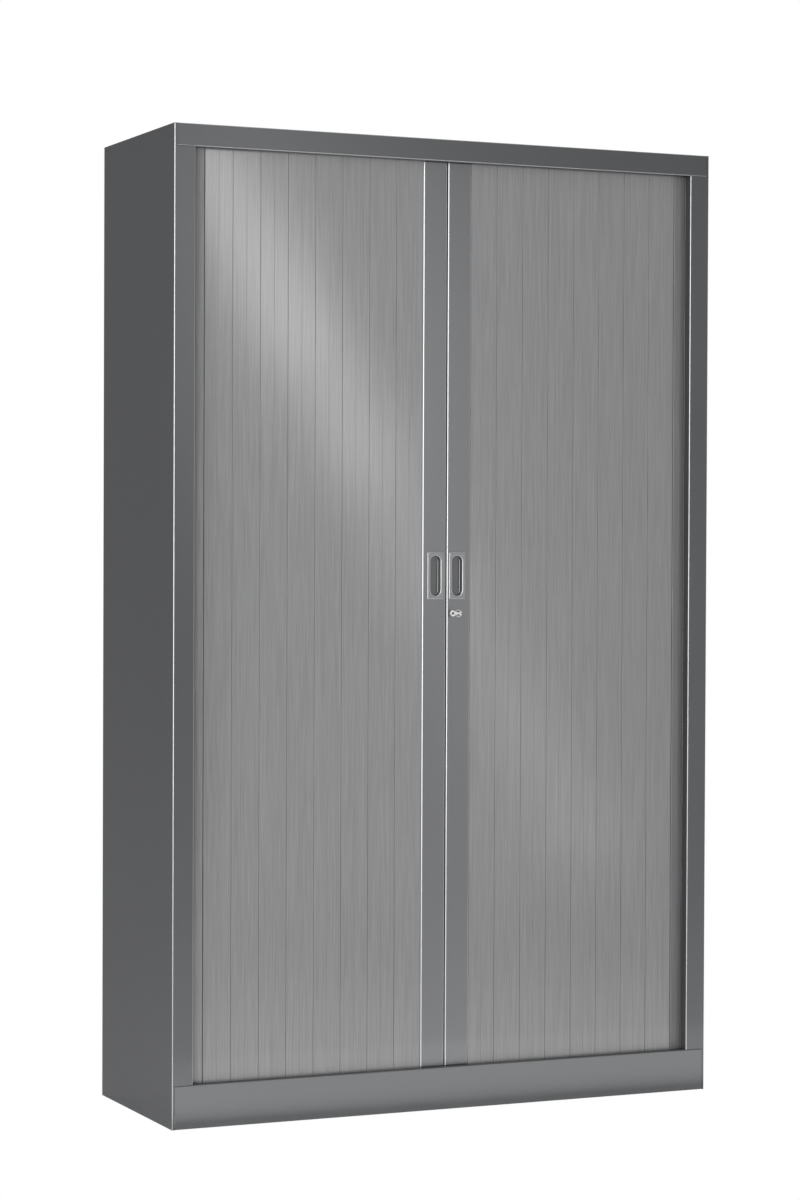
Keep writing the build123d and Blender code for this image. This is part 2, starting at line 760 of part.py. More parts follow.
# Folded flat, the bow lies to the left of the lock. Its tongue turns on the pin in the fork.
tongue_height = fork_gap - 2 * running_gap
tongue_end = pin_inset - 2 * running_gap
neck_start = fork_width / sqrt(2) + running_gap
with BuildPart() as key_bow:
    with BuildSketch(behind(pin_y + bow_thickness / 2)):
        with Locations((lock_x - bow_reach, lock_z)):
            Circle(bow_diameter / 2)
        neck_length = bow_reach - neck_start
        with Locations((lock_x - neck_start - neck_length / 2, lock_z)):
            Rectangle(neck_length, bow_neck)
        with Locations((lock_x - bow_reach / 2 + tongue_end / 2, lock_z)):
            Rectangle(bow_reach + tongue_end, tongue_height)
        with Locations((lock_x - bow_reach, lock_z)):
            Circle(bow_hole / 2, mode=Mode.SUBTRACT)
    extrude(amount=bow_thickness)
    with BuildSketch(Plane.XY.offset(lock_z - tongue_height / 2)):
        with Locations((lock_x, pin_y)):
            Circle(tongue_end)
    extrude(amount=tongue_height)
    with BuildSketch(Plane.XY.offset(lock_z - tongue_height)):
        with Locations((lock_x, pin_y)):
            Circle(pin_diameter / 2 + running_gap)
    extrude(amount=2 * tongue_height, mode=Mode.SUBTRACT)
write(key_bow.part, "key_bow")

# ---- shelves and their clips -----------------------------------------------------------
shelf_end_x = upright_face_x - shelf_clearance
shelf_front_y = wall_front_y + inner_sheet / 2 + shelf_clearance
shelf_back_y = inner_back_y - 2 * inner_sheet - shelf_clearance
shelf_cut = shelf_end_x - bevel_x + 2 * guide_clearance
shelf_depth = shelf_back_y - shelf_front_y
ledges = []
for shelf in range(1, shelf_count + 1):
    slot_row = round((shelf * shelf_spacing - first_slot) / slot_pitch)
    hook_z = first_slot_z + slot_row * slot_pitch - slot_height / 2
    ledge_z = hook_z + hook_height + clip_sheet
    ledges.append((hook_z, ledge_z))
    with BuildPart() as shelf_board:
        with BuildSketch(Plane.XY.offset(ledge_z)) as board:
            with Locations((0, (shelf_front_y + shelf_back_y) / 2)):
                Rectangle(2 * shelf_end_x, shelf_depth)
            chamfer(board.vertices().group_by(Axis.Y)[-1], shelf_cut)
        extrude(amount=inner_sheet)
        low_z = ledge_z + inner_sheet - shelf_flange
        front_low = (-shelf_end_x, shelf_front_y, low_z)
        back_edge = shelf_end_x - shelf_cut
        back_low = (-back_edge, shelf_back_y - inner_sheet, low_z)
        add(plate(front_low, (shelf_end_x, shelf_front_y + inner_sheet, ledge_z)))
        add(plate(front_low, (shelf_end_x, shelf_front_y + shelf_hem, low_z + inner_sheet)))
        add(plate(back_low, (back_edge, shelf_back_y, ledge_z)))
    write(shelf_board.part, f"shelf_{shelf}")

with BuildPart() as shelf_clips:
    for hook_z, ledge_z in ledges:
        for side in (-1, 1):
            for row_y in upright_rows:
                low_y = row_y - clip_width / 2
                high_y = row_y + clip_width / 2
                face_x = upright_face_x
                back = (face_x - clip_sheet, low_y, ledge_z - clip_drop)
                add(stile_block(side, back, (face_x, high_y, ledge_z)))
                ledge = (face_x - clip_ledge, low_y, ledge_z - clip_sheet)
                add(stile_block(side, ledge, (face_x, high_y, ledge_z)))
                hook = (face_x, row_y - hook_width / 2, hook_z)
                tip = (face_x + hook_reach, row_y + hook_width / 2, hook_z + hook_height)
                add(stile_block(side, hook, tip))
write(shelf_clips.part, "shelf_clips")

# ---- levelling feet --------------------------------------------------------------------
bracket_x = inner_x - sheet
bracket_top = floor_top - sheet - bracket_sheet
with BuildPart() as leveller_brackets:
    for side in (-1, 1):
        for middle_y in (-leveller_y, leveller_y):
            low_y = middle_y - bracket_width / 2
            high_y = middle_y + bracket_width / 2
            upright = (bracket_x - bracket_sheet, low_y, bracket_level)
            add(stile_block(side, upright, (bracket_x, high_y, bracket_top)))
            flat = (bracket_x - bracket_reach, low_y, bracket_level)
            add(stile_block(side, flat, (bracket_x, high_y, bracket_level + bracket_sheet)))
    with BuildSketch(Plane.XY.offset(bracket_level)):
        with GridLocations(2 * leveller_x, 2 * leveller_y, 2, 2):
            Circle(leveller_diameter / 2 + thread_clearance)
    extrude(amount=bracket_sheet, mode=Mode.SUBTRACT)
write(leveller_brackets.part, "leveller_brackets")

with BuildPart() as leveller_nuts:
    with BuildSketch(Plane.XY.offset(bracket_level + bracket_sheet)):
        with GridLocations(2 * leveller_x, 2 * leveller_y, 2, 2):
            RegularPolygon(leveller_nut_width / 2, 6, major_radius=False)
            Circle(leveller_diameter / 2 + thread_clearance, mode=Mode.SUBTRACT)
    extrude(amount=leveller_nut_height)
write(leveller_nuts.part, "leveller_nuts")

for row, row_y in (("front", -leveller_y), ("rear", leveller_y)):
    for name, side in sides:
        foot = (side * leveller_x, row_y)
        socket_z = pad_lift + pad_height / 2
        socket_radius = leveller_diameter / 2 + cap_clearance
        with BuildPart() as pad:
            with BuildSketch(Plane.XY.offset(pad_lift)):
                with Locations(foot):
                    Circle(pad_diameter / 2)
            extrude(amount=pad_height)
            chamfer(pad.edges().group_by(Axis.Z)[-1], pad_chamfer)
            with BuildSketch(Plane.XY.offset(pad_lift + pad_height)):
                with Locations(foot):
                    Circle(socket_radius + pad_socket_wall)
            extrude(amount=pad_boss - pad_height)
            with BuildSketch(Plane.XY.offset(socket_z)):
                with Locations(foot):
                    Circle(socket_radius)
            extrude(amount=pad_boss, mode=Mode.SUBTRACT)
        with BuildPart() as leveller:
            with BuildSketch(Plane.XY.offset(socket_z)):
                with Locations(foot):
                    Circle(leveller_diameter / 2)
            extrude(amount=leveller_top - socket_z)
            with BuildSketch(Plane.XY.offset(leveller_top - hex_key)):
                with Locations(foot):
                    RegularPolygon(hex_key / 2, 6, major_radius=False)
            extrude(amount=hex_key, mode=Mode.SUBTRACT)
        write(Compound([pad.part.solid(), leveller.part.solid()]), f"leveller_{row}_{name}")

with BuildPart() as access_caps:
    with BuildSketch(Plane.XY.offset(floor_top)):
        with GridLocations(2 * leveller_x, 2 * leveller_y, 2, 2):
            Circle(access_cap / 2)
    extrude(amount=access_cap_thickness)
    with BuildSketch(Plane.XY.offset(floor_top - 2 * access_cap_thickness)):
        with GridLocations(2 * leveller_x, 2 * leveller_y, 2, 2):
            Circle(access_hole / 2 - cap_clearance)
    extrude(amount=2 * access_cap_thickness)
write(access_caps.part, "access_caps")

# ---- weld studs and nuts of the carcass ------------------------------------------------
stud_levels = (floor_top - tray_flange / 2, ceiling_under + tray_flange / 2)
with BuildPart() as weld_studs:
    for level in stud_levels:
        for place in stud_planes(level):
            with BuildSketch(place):
                Circle(stud_diameter / 2)
            extrude(amount=stud_length)
write(weld_studs.part, "weld_studs")

with BuildPart() as carcass_nuts:
    for level in stud_levels:
        for place in stud_planes(level):
            with BuildSketch(place.offset(sheet)):
                RegularPolygon(carcass_nut_width / 2, 6, major_radius=False)
                Circle(stud_diameter / 2 + stud_clearance, mode=Mode.SUBTRACT)
            extrude(amount=carcass_nut_height)
write(carcass_nuts.part, "carcass_nuts")
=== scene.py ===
import json
from math import asin, cos, pi, radians, sin

import bpy
import numpy as np
from mathutils import Matrix, Vector


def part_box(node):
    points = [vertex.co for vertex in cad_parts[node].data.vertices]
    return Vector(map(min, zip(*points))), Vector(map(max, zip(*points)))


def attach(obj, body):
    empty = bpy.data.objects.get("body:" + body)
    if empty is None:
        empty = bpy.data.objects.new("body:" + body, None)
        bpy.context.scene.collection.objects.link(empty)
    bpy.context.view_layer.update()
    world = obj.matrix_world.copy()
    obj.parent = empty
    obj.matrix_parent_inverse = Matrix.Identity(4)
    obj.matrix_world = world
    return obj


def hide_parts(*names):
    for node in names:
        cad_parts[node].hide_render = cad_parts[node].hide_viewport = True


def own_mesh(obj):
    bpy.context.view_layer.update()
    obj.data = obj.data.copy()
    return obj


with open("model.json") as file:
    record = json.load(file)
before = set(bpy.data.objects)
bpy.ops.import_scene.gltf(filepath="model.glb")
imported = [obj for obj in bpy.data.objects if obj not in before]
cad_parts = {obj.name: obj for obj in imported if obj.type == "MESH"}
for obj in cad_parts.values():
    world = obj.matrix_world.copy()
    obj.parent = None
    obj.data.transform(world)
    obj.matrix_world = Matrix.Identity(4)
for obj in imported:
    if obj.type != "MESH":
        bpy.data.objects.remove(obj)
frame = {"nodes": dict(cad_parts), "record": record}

# A tall steel cupboard closed by two curtains of upright slats. Metres, X to the right, Y to the
# back, Z up. The carcass, shelves, tracks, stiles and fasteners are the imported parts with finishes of
# their own. The curtains, the finger cups, the barrel of the lock and the bow of the key are shaped
# here in more detail.

scene = bpy.context.scene
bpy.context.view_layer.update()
nodes = frame["nodes"]
MM = 0.001
SIDES = (("left", -1), ("right", 1))


# ---- meshes from arrays ----------------------------------------------------------------
def make_piece(name, points, faces, finish, sharp=40.0):
    """A mesh object at the origin from an array of points and a list of faces. Edges that turn by
    more than the angle sharp, in degrees, stay crisp."""
    mesh = bpy.data.meshes.new(name)
    mesh.from_pydata(np.asarray(points, float).reshape(-1, 3).tolist(), [], faces)
    mesh.polygons.foreach_set("use_smooth", np.ones(len(mesh.polygons), bool))
    mesh.set_sharp_from_angle(angle=radians(sharp))
    mesh.materials.append(finish)
    mesh.update()
    piece = bpy.data.objects.new(name, mesh)
    scene.collection.objects.link(piece)
    return piece


def skin_faces(rings, around, first=0, turned=False):
    """Faces of a closed skin over a stack of rings: quads between neighbouring rings, with point j
    of ring i at first + i * around + j, and one flat face over each end."""
    i = np.arange(rings - 1)[:, None] * around + first
    j = np.arange(around)[None, :]
    k = (j + 1) % around
    quads = np.stack([i + j, i + k, i + k + around, i + j + around], -1).reshape(-1, 4)
    low = np.arange(around)[::-1] + first
    high = np.arange(around) + first + (rings - 1) * around
    if turned:
        quads, low, high = quads[:, ::-1], low[::-1], high[::-1]
    return quads.tolist() + [low.tolist(), high.tolist()]


def loop_faces(rings, around, turned=False):
    """Faces of a skin that closes both ways, like a tyre's: quads between each ring and the next,
    the last ring being followed by the first."""
    i = np.arange(rings)[:, None]
    j = np.arange(around)[None, :]
    k = (j + 1) % around
    n = (i + 1) % rings
    quads = np.stack([i * around + j, i * around + k, n * around + k, n * around + j], -1)
    quads = quads.reshape(-1, 4)
    if turned:
        quads = quads[:, [0, 3, 2, 1]]
    return quads.tolist()


def round_ring(half_width, half_height, radius, steps):
    """A rectangle with rounded corners, anticlockwise: the corner's centre plus the radius times
    (cos t, sin t), with t over each quarter turn in turn."""
    t = np.linspace(0, pi / 2, steps)[None, :] + np.arange(4)[:, None] * pi / 2
    sign_u = np.array([1, -1, -1, 1])[:, None]
    sign_v = np.array([1, 1, -1, -1])[:, None]
    u = sign_u * (half_width - radius) + radius * np.cos(t)
    v = sign_v * (half_height - radius) + radius * np.sin(t)
    return np.stack([u.ravel(), v.ravel()], -1)


def upright_bars(profile, centres, turns, low_z, high_z):
    """Bars with one plan profile: each point is turned about the bar's middle, moved to its centre
    and repeated at the bottom and the top. Returns the points and the faces of all the bars."""
    c, s = np.cos(turns)[:, None], np.sin(turns)[:, None]
    x = centres[:, :1] + c * profile[:, 0] - s * profile[:, 1]
    y = centres[:, 1:] + s * profile[:, 0] + c * profile[:, 1]
    plan = np.stack([x, y], -1)[:, None]
    levels = np.array([low_z, high_z])[None, :, None, None]
    shape = (len(centres), 2, len(profile))
    z = np.broadcast_to(levels, shape + (1,))
    points = np.concatenate([np.broadcast_to(plan, shape + (2,)), z], -1)
    faces = []
    for bar in range(len(centres)):
        faces += skin_faces(2, len(profile), bar * 2 * len(profile))
    return points.reshape(-1, 3), faces


# ---- nodes that finishes are made of ---------------------------------------------------
COMMON_NOISE = (0.3, 0.7)    # nearly all of a noise lies between these
WHOLE = (0.0, 1.0)


def start_finish(name, colour, roughness, metallic=0.0, specular=0.5):
    """A new finish with constant values on the shader, and the names that its nodes need."""
    finish = bpy.data.materials.new(name)
    finish.use_nodes = True
    tree = finish.node_tree
    shader = tree.nodes["Principled BSDF"]
    shader.inputs["Base Color"].default_value = (*colour, 1.0)
    shader.inputs["Roughness"].default_value = roughness
    shader.inputs["Metallic"].default_value = metallic
    shader.inputs["Specular IOR Level"].default_value = specular
    return finish, tree, shader


def grain(tree, scale=1.0, stretch=(1.0, 1.0, 1.0), detail=3.0, rough=0.55):
    """Noise on the object's own coordinates, stretched by a scale for each axis."""
    place = tree.nodes.new("ShaderNodeTexCoord")
    mapping = tree.nodes.new("ShaderNodeMapping")
    mapping.inputs["Scale"].default_value = stretch
    noise = tree.nodes.new("ShaderNodeTexNoise")
    noise.inputs["Scale"].default_value = scale
    noise.inputs["Detail"].default_value = detail
    noise.inputs["Roughness"].default_value = rough
    tree.links.new(place.outputs["Object"], mapping.inputs["Vector"])
    tree.links.new(mapping.outputs["Vector"], noise.inputs["Vector"])
    return noise.outputs["Fac"]


def along(tree, axis):
    """The object's own coordinate along an axis, in metres."""
    place = tree.nodes.new("ShaderNodeTexCoord")
    split = tree.nodes.new("ShaderNodeSeparateXYZ")
    tree.links.new(place.outputs["Object"], split.inputs[0])
    return split.outputs[axis]


def spread(tree, value, result, source=COMMON_NOISE):
    """The value carried from the source pair to the result pair, and no further."""
    node = tree.nodes.new("ShaderNodeMapRange")
    node.inputs["From Min"].default_value = source[0]
    node.inputs["From Max"].default_value = source[1]
    node.inputs["To Min"].default_value = result[0]
    node.inputs["To Max"].default_value = result[1]
    tree.links.new(value, node.inputs["Value"])
    return node.outputs["Result"]


def combine(tree, kind, first, second):
    """Arithmetic on two values or sockets."""
    node = tree.nodes.new("ShaderNodeMath")
    node.operation = kind
    for socket, value in zip(node.inputs, (first, second)):
        if isinstance(value, (int, float)):
            socket.default_value = value
        else:
            tree.links.new(value, socket)
    return node.outputs[0]


def shade(tree, shader, colour, factor):
    """The base colour times a factor that varies over the surface."""
    node = tree.nodes.new("ShaderNodeVectorMath")
    node.operation = "SCALE"
    node.inputs[0].default_value = colour
    tree.links.new(factor, node.inputs["Scale"])
    tree.links.new(node.outputs[0], shader.inputs["Base Color"])


def raise_surface(tree, shader, height, distance, strength):
    """A bump of this height in metres."""
    node = tree.nodes.new("ShaderNodeBump")
    node.inputs["Distance"].default_value = distance
    node.inputs["Strength"].default_value = strength
    tree.links.new(height, node.inputs["Height"])
    tree.links.new(node.outputs["Normal"], shader.inputs["Normal"])


# ---- powder coat -----------------------------------------------------------------------
LACQUER_ROUGHNESS = 0.2
GRAZING = 0.8                # how much the flakes mirror at a flat angle
FLAT_NORMAL = (0.94, 0.995)  # largest part of the normal on a fold, and on a flat face

CLOUDS = {"scale": 2.2, "detail": 4.0}
CLOUD_TONE = (0.97, 1.03)
CLOUD_GLOSS = (-0.02, 0.03)
FLAKES = {"scale": 1500.0, "detail": 1.0}
FLAKE_TONE = (0.94, 1.06)
FLAKE_GLOSS = (-0.03, 0.03)
PEEL = {"scale": 420.0, "detail": 2.0}
PEEL_HEIGHT = 0.02 * MM
PEEL_STRENGTH = 0.6

DUST_REACH = 0.12            # dust lies up to this height
RUBS = {"scale": 9.0, "stretch": (1.0, 1.0, 14.0), "detail": 5.0, "rough": 0.7}
RUB_NOISE = (0.5, 0.72)
DUST_TONE = (1.0, 1.09)
DUST_GLOSS = (0.0, 0.12)

HOLLOW_SHADE = (1.0, 0.45)    # painted shade on the coat, at a hollow's mouth and at its bottom
HOLLOW_EDGE = (1.0, 0.2)     # of the painted edge highlight, at the same places


def painted_edge_highlight(tree):
    """Mask of the painted highlight on edges: 1 on folds and rims, 0 on flat faces, which all face along an
    axis:
    one minus a steep ramp of the largest part of the normal."""
    place = tree.nodes.new("ShaderNodeTexCoord")
    size = tree.nodes.new("ShaderNodeVectorMath")
    size.operation = "ABSOLUTE"
    tree.links.new(place.outputs["Normal"], size.inputs[0])
    split = tree.nodes.new("ShaderNodeSeparateXYZ")
    tree.links.new(size.outputs[0], split.inputs[0])
    largest = combine(tree, "MAXIMUM", split.outputs["X"], split.outputs["Y"])
    largest = combine(tree, "MAXIMUM", largest, split.outputs["Z"])
    return spread(tree, largest, (1.0, 0.0), FLAT_NORMAL)


def powder_coat(name, colour, roughness, metallic, edge_highlight_tone, lacquer=0.0, scuffed=True, shaded_hollow=None):
    """Satin coat with metal flakes: fine speckle, a slight orange peel and faint broad clouds, with a
    painted highlight that makes folds and rims paler by a factor for each paint. Where scuffed, it has a
    little dust and rubbing near the floor. A hollow is a pair of depths along Y between which the colour
    turns dark with painted shade and the painted edge highlight fades."""
    finish, tree, shader = start_finish(name, colour, roughness, metallic)
    shader.inputs["Coat Weight"].default_value = lacquer
    shader.inputs["Coat Roughness"].default_value = LACQUER_ROUGHNESS
    shader.inputs["Specular Tint"].default_value = (GRAZING, GRAZING, GRAZING, 1.0)
    clouds = grain(tree, **CLOUDS)
    flakes = grain(tree, **FLAKES)
    peel = grain(tree, **PEEL)
    cloud_tone = spread(tree, clouds, CLOUD_TONE)
    tone = combine(tree, "MULTIPLY", cloud_tone, spread(tree, flakes, FLAKE_TONE))
    cloud_gloss = spread(tree, clouds, CLOUD_GLOSS)
    gloss = combine(tree, "ADD", cloud_gloss, spread(tree, flakes, FLAKE_GLOSS))
    if scuffed:
        low = spread(tree, along(tree, "Z"), (1.0, 0.0), (0.0, DUST_REACH))
        rubs = spread(tree, grain(tree, **RUBS), WHOLE, RUB_NOISE)
        dust = combine(tree, "MULTIPLY", low, rubs)
        tone = combine(tree, "MULTIPLY", tone, spread(tree, dust, DUST_TONE, WHOLE))
        gloss = combine(tree, "ADD", gloss, spread(tree, dust, DUST_GLOSS, WHOLE))
    # Painted highlight: the base colour is made paler on folds and rims, where the lamps glint.
    edge_highlight = painted_edge_highlight(tree)
    # Painted shade: between two depths inside the cup's recess the colour turns dark and the painted edge
    # highlight fades.
    if shaded_hollow:
        depth = along(tree, "Y")
        edge_highlight = combine(tree, "MULTIPLY", edge_highlight, spread(tree, depth, HOLLOW_EDGE, shaded_hollow))
        tone = combine(tree, "MULTIPLY", tone, spread(tree, depth, HOLLOW_SHADE, shaded_hollow))
    tone = combine(tree, "MULTIPLY", tone, spread(tree, edge_highlight, (1.0, edge_highlight_tone), WHOLE))
    shade(tree, shader, colour, tone)
    tree.links.new(combine(tree, "ADD", gloss, roughness), shader.inputs["Roughness"])
    raise_surface(tree, shader, peel, PEEL_HEIGHT, PEEL_STRENGTH)
    return finish


# ---- brushed film ----------------------------------------------------------------------
BROAD_STREAKS = {"stretch": (60.0, 60.0, 1.2), "detail": 2.0}
BROAD_TONE = (0.98, 1.02)
STREAKS = {"stretch": (480.0, 480.0, 8.0), "detail": 4.0, "rough": 0.65}
STREAK_TONE = (0.86, 1.14)
STREAK_GLOSS = (-0.02, 0.02)
STREAK_HEIGHT = 0.03 * MM
STREAK_STRENGTH = 0.7
FINE_STREAKS = {"stretch": (1500.0, 1500.0, 12.0), "detail": 2.0}
FINE_TONE = (0.94, 1.06)


def brushed_film(name, colour, roughness, specular):
    """Aluminium-look film: long upright streaks of several widths in tone, gloss and height."""
    finish, tree, shader = start_finish(name, colour, roughness, specular=specular)
    broad = grain(tree, **BROAD_STREAKS)
    streaks = grain(tree, **STREAKS)
    fine = grain(tree, **FINE_STREAKS)
    streak_tone = spread(tree, streaks, STREAK_TONE)
    tone = combine(tree, "MULTIPLY", streak_tone, spread(tree, broad, BROAD_TONE))
    tone = combine(tree, "MULTIPLY", tone, spread(tree, fine, FINE_TONE))
    shade(tree, shader, colour, tone)
    gloss = combine(tree, "ADD", spread(tree, streaks, STREAK_GLOSS), roughness)
    tree.links.new(gloss, shader.inputs["Roughness"])
    raise_surface(tree, shader, streaks, STREAK_HEIGHT, STREAK_STRENGTH)
    return finish


# ---- plastic and rubber ----------------------------------------------------------------
PLASTIC_CLOUDS = {"scale": 6.0, "detail": 3.0}
PLASTIC_TONE = (0.85, 1.15)
PIT_SCALE = 650.0
RUBBER_PIT_SCALE = 300.0
PIT_DETAIL = 2.0
PIT_SMOOTHER = 0.06
PIT_ROUGHER = 0.08
PIT_DEPTH = 0.04 * MM
PIT_STRENGTH = 0.7


def moulded(name, colour, roughness, pit_scale=PIT_SCALE):
    """Moulded plastic or rubber with a fine spark-eroded grain."""
    finish, tree, shader = start_finish(name, colour, roughness)
    pits = grain(tree, pit_scale, detail=PIT_DETAIL)
    clouds = grain(tree, **PLASTIC_CLOUDS)
    shade(tree, shader, colour, spread(tree, clouds, PLASTIC_TONE))
    gloss = spread(tree, pits, (roughness - PIT_SMOOTHER, roughness + PIT_ROUGHER))
    tree.links.new(gloss, shader.inputs["Roughness"])
    raise_surface(tree, shader, pits, PIT_DEPTH, PIT_STRENGTH)
    return finish


# ---- plated metal ----------------------------------------------------------------------
CRYSTAL_SCALE = 260.0
CRYSTAL_DISTANCE = (0.0, 0.8)
SMEARS = {"scale": 90.0, "stretch": (1.0, 1.0, 3.0), "detail": 4.0}
SMEAR_TONE = (0.95, 1.04)
SMEAR_ROUGHER = 0.12
SMEAR_HEIGHT = 0.01 * MM
SMEAR_STRENGTH = 0.4


def plated(name, colour, roughness, mottle):
    """Plated metal: crystals that change its tone by mottle, and wiping marks in tone and gloss."""
    finish, tree, shader = start_finish(name, colour, roughness, metallic=1.0)
    crystals = tree.nodes.new("ShaderNodeTexVoronoi")
    crystals.inputs["Scale"].default_value = CRYSTAL_SCALE
    place = tree.nodes.new("ShaderNodeTexCoord")
    tree.links.new(place.outputs["Object"], crystals.inputs["Vector"])
    smears = grain(tree, **SMEARS)
    mottled = spread(tree, crystals.outputs["Distance"], (1.0 - mottle, 1.0 + mottle), CRYSTAL_DISTANCE)
    tone = combine(tree, "MULTIPLY", mottled, spread(tree, smears, SMEAR_TONE))
    shade(tree, shader, colour, tone)
    gloss = spread(tree, smears, (roughness, roughness + SMEAR_ROUGHER))
    tree.links.new(gloss, shader.inputs["Roughness"])
    raise_surface(tree, shader, smears, SMEAR_HEIGHT, SMEAR_STRENGTH)
    return finish


# ---- this cupboard's finishes ----------------------------------------------------------
# Colours are shares of red, green and blue light.
BODY_GREY = (0.117, 0.119, 0.123)
# A paler copy of the body's grey, painted light for the brighter light on the plinth.
LIT_PLINTH_GREY = (0.142, 0.145, 0.148)
STILE_GREY = (0.168, 0.170, 0.174)
HANDLE_GREY = (0.190, 0.192, 0.196)
FILM_GREY = (0.146, 0.146, 0.147)
WEB_GREY = (0.035, 0.036, 0.038)
TRACK_BLACK = (0.018, 0.018, 0.02)
RUBBER_BLACK = (0.02, 0.02, 0.02)
ZINC = (0.55, 0.56, 0.58)
DULL_ZINC = (0.46, 0.47, 0.48)
CHROME = (0.40, 0.40, 0.41)
# Dark steel on the rotor, painted shade for the shadowed gap round the key's shank.
ROTOR_SHADE_GREY = (0.07, 0.07, 0.075)
NICKEL = (0.62, 0.61, 0.60)
# Between these depths behind the cup's plate the coat is painted darker, as painted shade in the recess.
HOLLOW_STARTS = 1.5 * MM     # behind the cup's plate
HOLLOW_ENDS = 4.0 * MM
cup_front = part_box("left_handle_cup")[0].y
cup_shaded_hollow = (cup_front + HOLLOW_STARTS, cup_front + HOLLOW_ENDS)

# Each paint's edge factor is a painted highlight on its folds and rims.
PAINTS = {
    "carcass_paint": {"colour": BODY_GREY, "roughness": 0.34, "metallic": 0.8, "edge_highlight_tone": 3.0},
    "plinth_paint": {"colour": LIT_PLINTH_GREY, "roughness": 0.34, "metallic": 0.8, "edge_highlight_tone": 1.5},
    "inner_paint": {
        "colour": BODY_GREY, "roughness": 0.45, "metallic": 0.6, "edge_highlight_tone": 1.5, "lacquer": 0.6,
        "scuffed": False,
    },
    "stile_paint": {
        "colour": STILE_GREY, "roughness": 0.36, "metallic": 0.8, "edge_highlight_tone": 2.3, "lacquer": 0.2,
    },
    "handle_paint": {
        "colour": HANDLE_GREY, "roughness": 0.30, "metallic": 0.75, "edge_highlight_tone": 3.4, "lacquer": 0.5,
        "scuffed": False, "shaded_hollow": cup_shaded_hollow,
    },
}
FILMS = {
    "slat_film": {"colour": FILM_GREY, "roughness": 0.16, "specular": 0.75},
}
PLASTICS = {
    "web_plastic": {"colour": WEB_GREY, "roughness": 0.55},
    "track_plastic": {"colour": TRACK_BLACK, "roughness": 0.45},
    "stop_rubber": {"colour": RUBBER_BLACK, "roughness": 0.7, "pit_scale": RUBBER_PIT_SCALE},
}
METALS = {
    "zinc_steel": {"colour": ZINC, "roughness": 0.32, "mottle": 0.10},
    "leveller_steel": {"colour": DULL_ZINC, "roughness": 0.36, "mottle": 0.08},
    "lock_chrome": {"colour": CHROME, "roughness": 0.18, "mottle": 0.02},
    "rotor_steel": {"colour": ROTOR_SHADE_GREY, "roughness": 0.3, "mottle": 0.02},
    "key_steel": {"colour": NICKEL, "roughness": 0.20, "mottle": 0.03},
}
# The plinth's paint is a paler copy of the body's, painted light for the brighter light on the plinth, and
# the rotor's dark steel is painted shade for the shadowed gap round the key.
OWN_FINISHES = {"plinth": "plinth_paint", "lock_rotor": "rotor_steel"}

finishes = {}
for make, looks in (
    (powder_coat, PAINTS), (brushed_film, FILMS), (moulded, PLASTICS), (plated, METALS),
):
    for name, look in looks.items():
        finishes[name] = make(name, **look)
for part in frame["record"]["subparts"]:
    node = part["node"]
    for material_slot in nodes[node].material_slots:
        material_slot.material = finishes[OWN_FINISHES.get(node, part["material_slot"])]


# ---- curtains --------------------------------------------------------------------------
SLATS = 16
CORNER_SLATS = 3
CORNER_RADIUS = 60.0 * MM
HINGE_RADIUS = 58.0 * MM
LAST_JOINT_INSET = 1.0 * MM
SLAT_GAP = 0.8 * MM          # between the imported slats
JOINT_GAP = 0.4 * MM         # between the slats shaped here
FACE_ROUND = 0.4 * MM
BACK_ROUND = 0.6 * MM
FLAT_MARGIN = 0.15 * MM
ROUND_STEPS = 6
PAIR_SHIFT = 0.15 * MM
DEPTH_SCATTER = 0.04 * MM
TILT_SCATTER = 0.12          # degrees
WEB_THICKNESS = 0.8 * MM
WEB_GROOVE = WEB_THICKNESS / 3
BEAD_WIDTH = 1.2 * MM
WEB_STEPS = 12               # for each slat

slat_low, slat_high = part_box("left_slats")
slat_thickness = slat_high.y - slat_low.y
slat_pitch = (slat_high.x - slat_low.x + SLAT_GAP) / SLATS
path_y = slat_low.y + slat_thickness / 2
corner_x = -slat_low.x + SLAT_GAP / 2
stile_far = -slat_high.x - SLAT_GAP / 2
chance = np.random.default_rng(7)


def slat_profile():
    """Plan of a slat, anticlockwise from the middle of its right edge: a rectangle whose four
    corners are quarter circles, a little smaller on the face (towards -Y) than at the back. Two
    more points on the face, just inside its corners, keep the shading between them flat."""
    half = (slat_pitch - JOINT_GAP) / 2
    deep = slat_thickness / 2
    quarter = np.linspace(0, pi / 2, ROUND_STEPS)
    corners = []
    for number, (sign_u, sign_v, radius) in enumerate(
        ((1, 1, BACK_ROUND), (-1, 1, BACK_ROUND), (-1, -1, FACE_ROUND), (1, -1, FACE_ROUND))
    ):
        turn = quarter + number * pi / 2
        u = sign_u * (half - radius) + radius * np.cos(turn)
        v = sign_v * (deep - radius) + radius * np.sin(turn)
        corners.append(np.stack([u, v], -1))
        if sign_u < 0 and sign_v < 0:
            flat = half - radius - FLAT_MARGIN
            corners.append(np.array([[-flat, -deep], [flat, -deep]]))
    return np.concatenate(corners)


